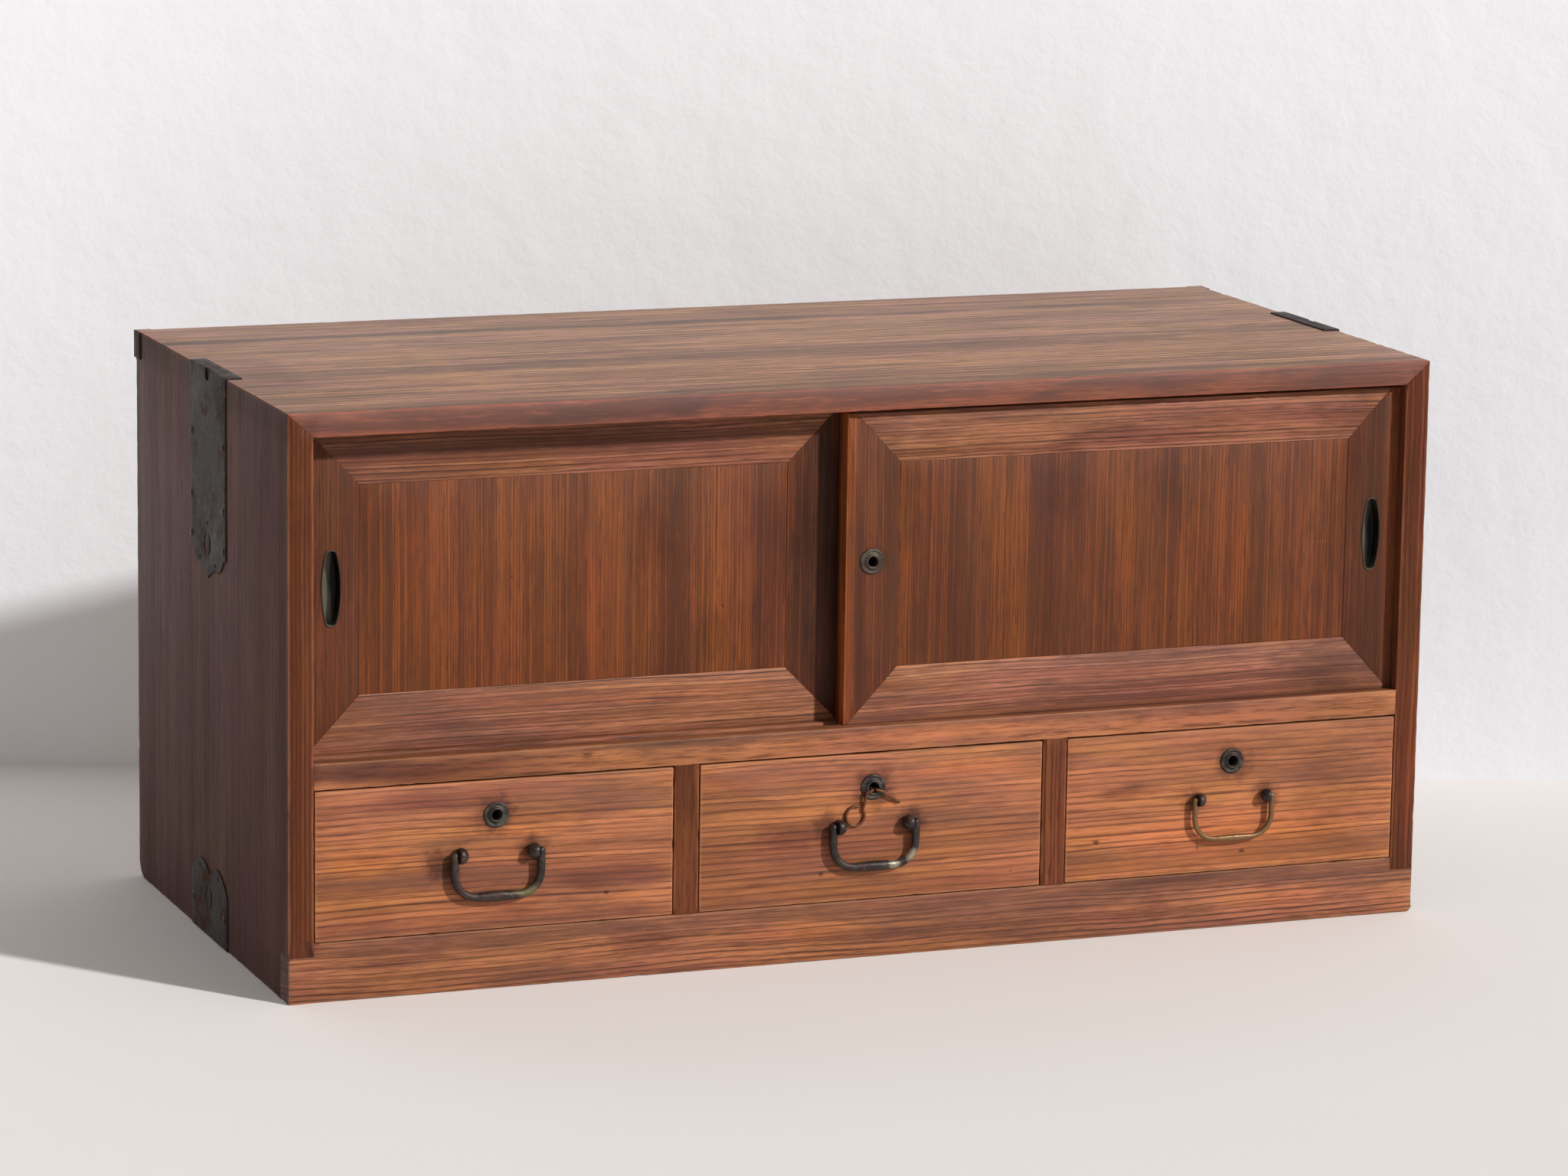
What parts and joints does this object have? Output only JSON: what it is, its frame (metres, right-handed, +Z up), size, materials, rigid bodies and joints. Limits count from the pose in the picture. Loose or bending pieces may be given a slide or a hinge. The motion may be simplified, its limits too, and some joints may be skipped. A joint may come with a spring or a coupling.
{
  "type": "low cabinet",
  "caption": "Low wooden cabinet with overlapping sliding doors above a row of drawers; iron drop handles, round key plates, finger pulls and carrying irons on the sides.",
  "frame": {"origin": "on the floor, under the middle of the whole object's bounding box", "axes": "+X to the right as seen from the front, -Y towards the viewer, +Z up"},
  "size_m": [0.9144, 0.4276, 0.4356],
  "materials": {
    "case_wood": "worn lacquer",
    "door_wood": "worn lacquer",
    "orange_brown_wood": "worn lacquer",
    "plain_inner_wood": "unfinished",
    "forged_iron": "aged black with green-grey crust",
    "rusty_wire": "rusty"
  },
  "bodies": {
    "case": {"right_side": "case_wood", "left_side": "case_wood", "foot_patch": "orange_brown_wood", "top_board": "case_wood", "bottom_board": "plain_inner_wood", "base_rail": "orange_brown_wood", "rear_rail": "plain_inner_wood", "middle_rail": "orange_brown_wood", "shelf_board": "plain_inner_wood", "right_divider": "orange_brown_wood", "left_divider": "orange_brown_wood", "back_boards": "plain_inner_wood", "right_pole_plate": "forged_iron", "left_pole_plate": "forged_iron", "right_foot_plate": "forged_iron", "left_foot_plate": "forged_iron", "corner_irons": "forged_iron", "side_nails": "forged_iron"},
    "rear_door": {"rear_door_stiles": "door_wood", "rear_door_rails": "door_wood", "rear_door_panel": "door_wood", "rear_door_pull": "forged_iron"},
    "front_door": {"front_door_stiles": "door_wood", "front_door_rails": "door_wood", "front_door_panel": "door_wood", "front_door_pull": "forged_iron", "front_door_key_plate": "forged_iron", "front_door_lock": "forged_iron"},
    "left_drawer": {"left_drawer_front": "orange_brown_wood", "left_drawer_sides": "plain_inner_wood", "left_drawer_back": "plain_inner_wood", "left_drawer_bottom": "plain_inner_wood", "left_key_plate": "forged_iron", "left_lock_case": "forged_iron", "left_posts": "forged_iron"},
    "left_bolt": {"left_lock_bolt": "forged_iron"},
    "left_bail": {"left_bail": "forged_iron"},
    "middle_drawer": {"middle_drawer_front": "orange_brown_wood", "middle_drawer_sides": "plain_inner_wood", "middle_drawer_back": "plain_inner_wood", "middle_drawer_bottom": "plain_inner_wood", "middle_key_plate": "forged_iron", "middle_lock_case": "forged_iron", "middle_posts": "forged_iron", "wire_loop": "rusty_wire"},
    "middle_bolt": {"middle_lock_bolt": "forged_iron"},
    "middle_bail": {"middle_bail": "forged_iron"},
    "right_drawer": {"right_drawer_front": "orange_brown_wood", "right_drawer_sides": "plain_inner_wood", "right_drawer_back": "plain_inner_wood", "right_drawer_bottom": "plain_inner_wood", "right_key_plate": "forged_iron", "right_lock_case": "forged_iron", "right_posts": "forged_iron"},
    "right_bolt": {"right_lock_bolt": "forged_iron"},
    "right_bail": {"right_bail": "forged_iron"},
    "left_loop": {"left_pole_loop": "forged_iron"},
    "right_loop": {"right_pole_loop": "forged_iron"}
  },
  "joints": [
    {"name": "rear_door_slide", "type": "slide", "parent": "case", "child": "rear_door", "axis": [1, 0, 0], "range_m": [0, 0.4135]},
    {"name": "front_door_slide", "type": "slide", "parent": "case", "child": "front_door", "axis": [-1, 0, 0], "range_m": [0, 0.4135]},
    {"name": "left_drawer_slide", "type": "slide", "parent": "case", "child": "left_drawer", "axis": [0, -1, 0], "range_m": [0, 0.3]},
    {"name": "left_bolt_slide", "type": "slide", "parent": "left_drawer", "child": "left_bolt", "axis": [0, 0, 1], "range_m": [0, 0.006]},
    {"name": "left_bail_hinge", "type": "hinge", "parent": "left_drawer", "child": "left_bail", "pos_m": [-0.29653, -0.20775, 0.103], "axis": [-1, 0, 0], "range_deg": [-1, 165]},
    {"name": "middle_drawer_slide", "type": "slide", "parent": "case", "child": "middle_drawer", "axis": [0, -1, 0], "range_m": [0, 0.3]},
    {"name": "middle_bolt_slide", "type": "slide", "parent": "middle_drawer", "child": "middle_bolt", "axis": [0, 0, 1], "range_m": [0, 0.006]},
    {"name": "middle_bail_hinge", "type": "hinge", "parent": "middle_drawer", "child": "middle_bail", "pos_m": [0, -0.20775, 0.103], "axis": [-1, 0, 0], "range_deg": [-1, 165]},
    {"name": "right_drawer_slide", "type": "slide", "parent": "case", "child": "right_drawer", "axis": [0, -1, 0], "range_m": [0, 0.3]},
    {"name": "right_bolt_slide", "type": "slide", "parent": "right_drawer", "child": "right_bolt", "axis": [0, 0, 1], "range_m": [0, 0.006]},
    {"name": "right_bail_hinge", "type": "hinge", "parent": "right_drawer", "child": "right_bail", "pos_m": [0.29653, -0.20775, 0.103], "axis": [-1, 0, 0], "range_deg": [-1, 165]},
    {"name": "left_loop_slide", "type": "slide", "parent": "case", "child": "left_loop", "axis": [0, 0, 1], "range_m": [0, 0.08]},
    {"name": "right_loop_slide", "type": "slide", "parent": "case", "child": "right_loop", "axis": [0, 0, 1], "range_m": [0, 0.08]}
  ]
}
